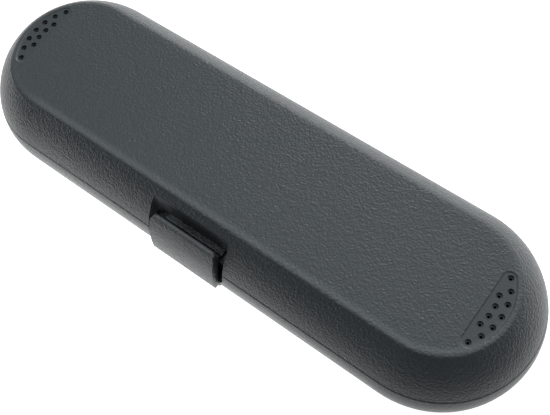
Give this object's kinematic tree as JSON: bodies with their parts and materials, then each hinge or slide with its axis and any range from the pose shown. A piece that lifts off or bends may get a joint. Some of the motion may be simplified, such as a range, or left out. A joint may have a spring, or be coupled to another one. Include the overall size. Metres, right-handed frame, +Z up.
{
  "type": "electric toothbrush travel case",
  "caption": "Hard travel case for an electric toothbrush: curved shells with rounded ends, vented lid, rear hinges, front lever latch and a holder tray inside.",
  "frame": {"origin": "centre of the flat underside, which rests on a table", "axes": "+X along the case to the end at the right of the latch's front, -Y to the latch, +Z up, lid closed"},
  "size_m": [0.2278, 0.0751, 0.0414],
  "materials": {
    "shell_plastic": "charcoal grey, fine moulded grain, smooth vent recess and finger pocket",
    "latch_plastic": "charcoal grey, fine moulded grain on the front, smooth sides",
    "tray_plastic": "dark grey, smooth satin",
    "pin_steel": "ground steel",
    "pad_rubber": "soft matte grey silicone rubber"
  },
  "bodies": {
    "base": {"base_shell": "shell_plastic", "handle_tray": "tray_plastic", "head_rack": "tray_plastic", "cradle_pad_left": "pad_rubber", "cradle_pad_right": "pad_rubber", "latch_pin": "pin_steel", "hinge_pin_left": "pin_steel", "hinge_pin_right": "pin_steel"},
    "lid": {"lid_shell": "shell_plastic", "lid_pad_left": "pad_rubber", "lid_pad_right": "pad_rubber"},
    "latch": {"latch_lever": "latch_plastic"}
  },
  "joints": [
    {"name": "lid_hinge", "type": "hinge", "parent": "base", "child": "lid", "pos_m": [0, 0.0356, 0.0201], "axis": [-1, 0, 0], "range_deg": [0, 120]},
    {"name": "latch_pivot", "type": "hinge", "parent": "base", "child": "latch", "pos_m": [-0.001, -0.0334, 0.0158], "axis": [1, 0, 0], "range_deg": [0, 60]}
  ]
}
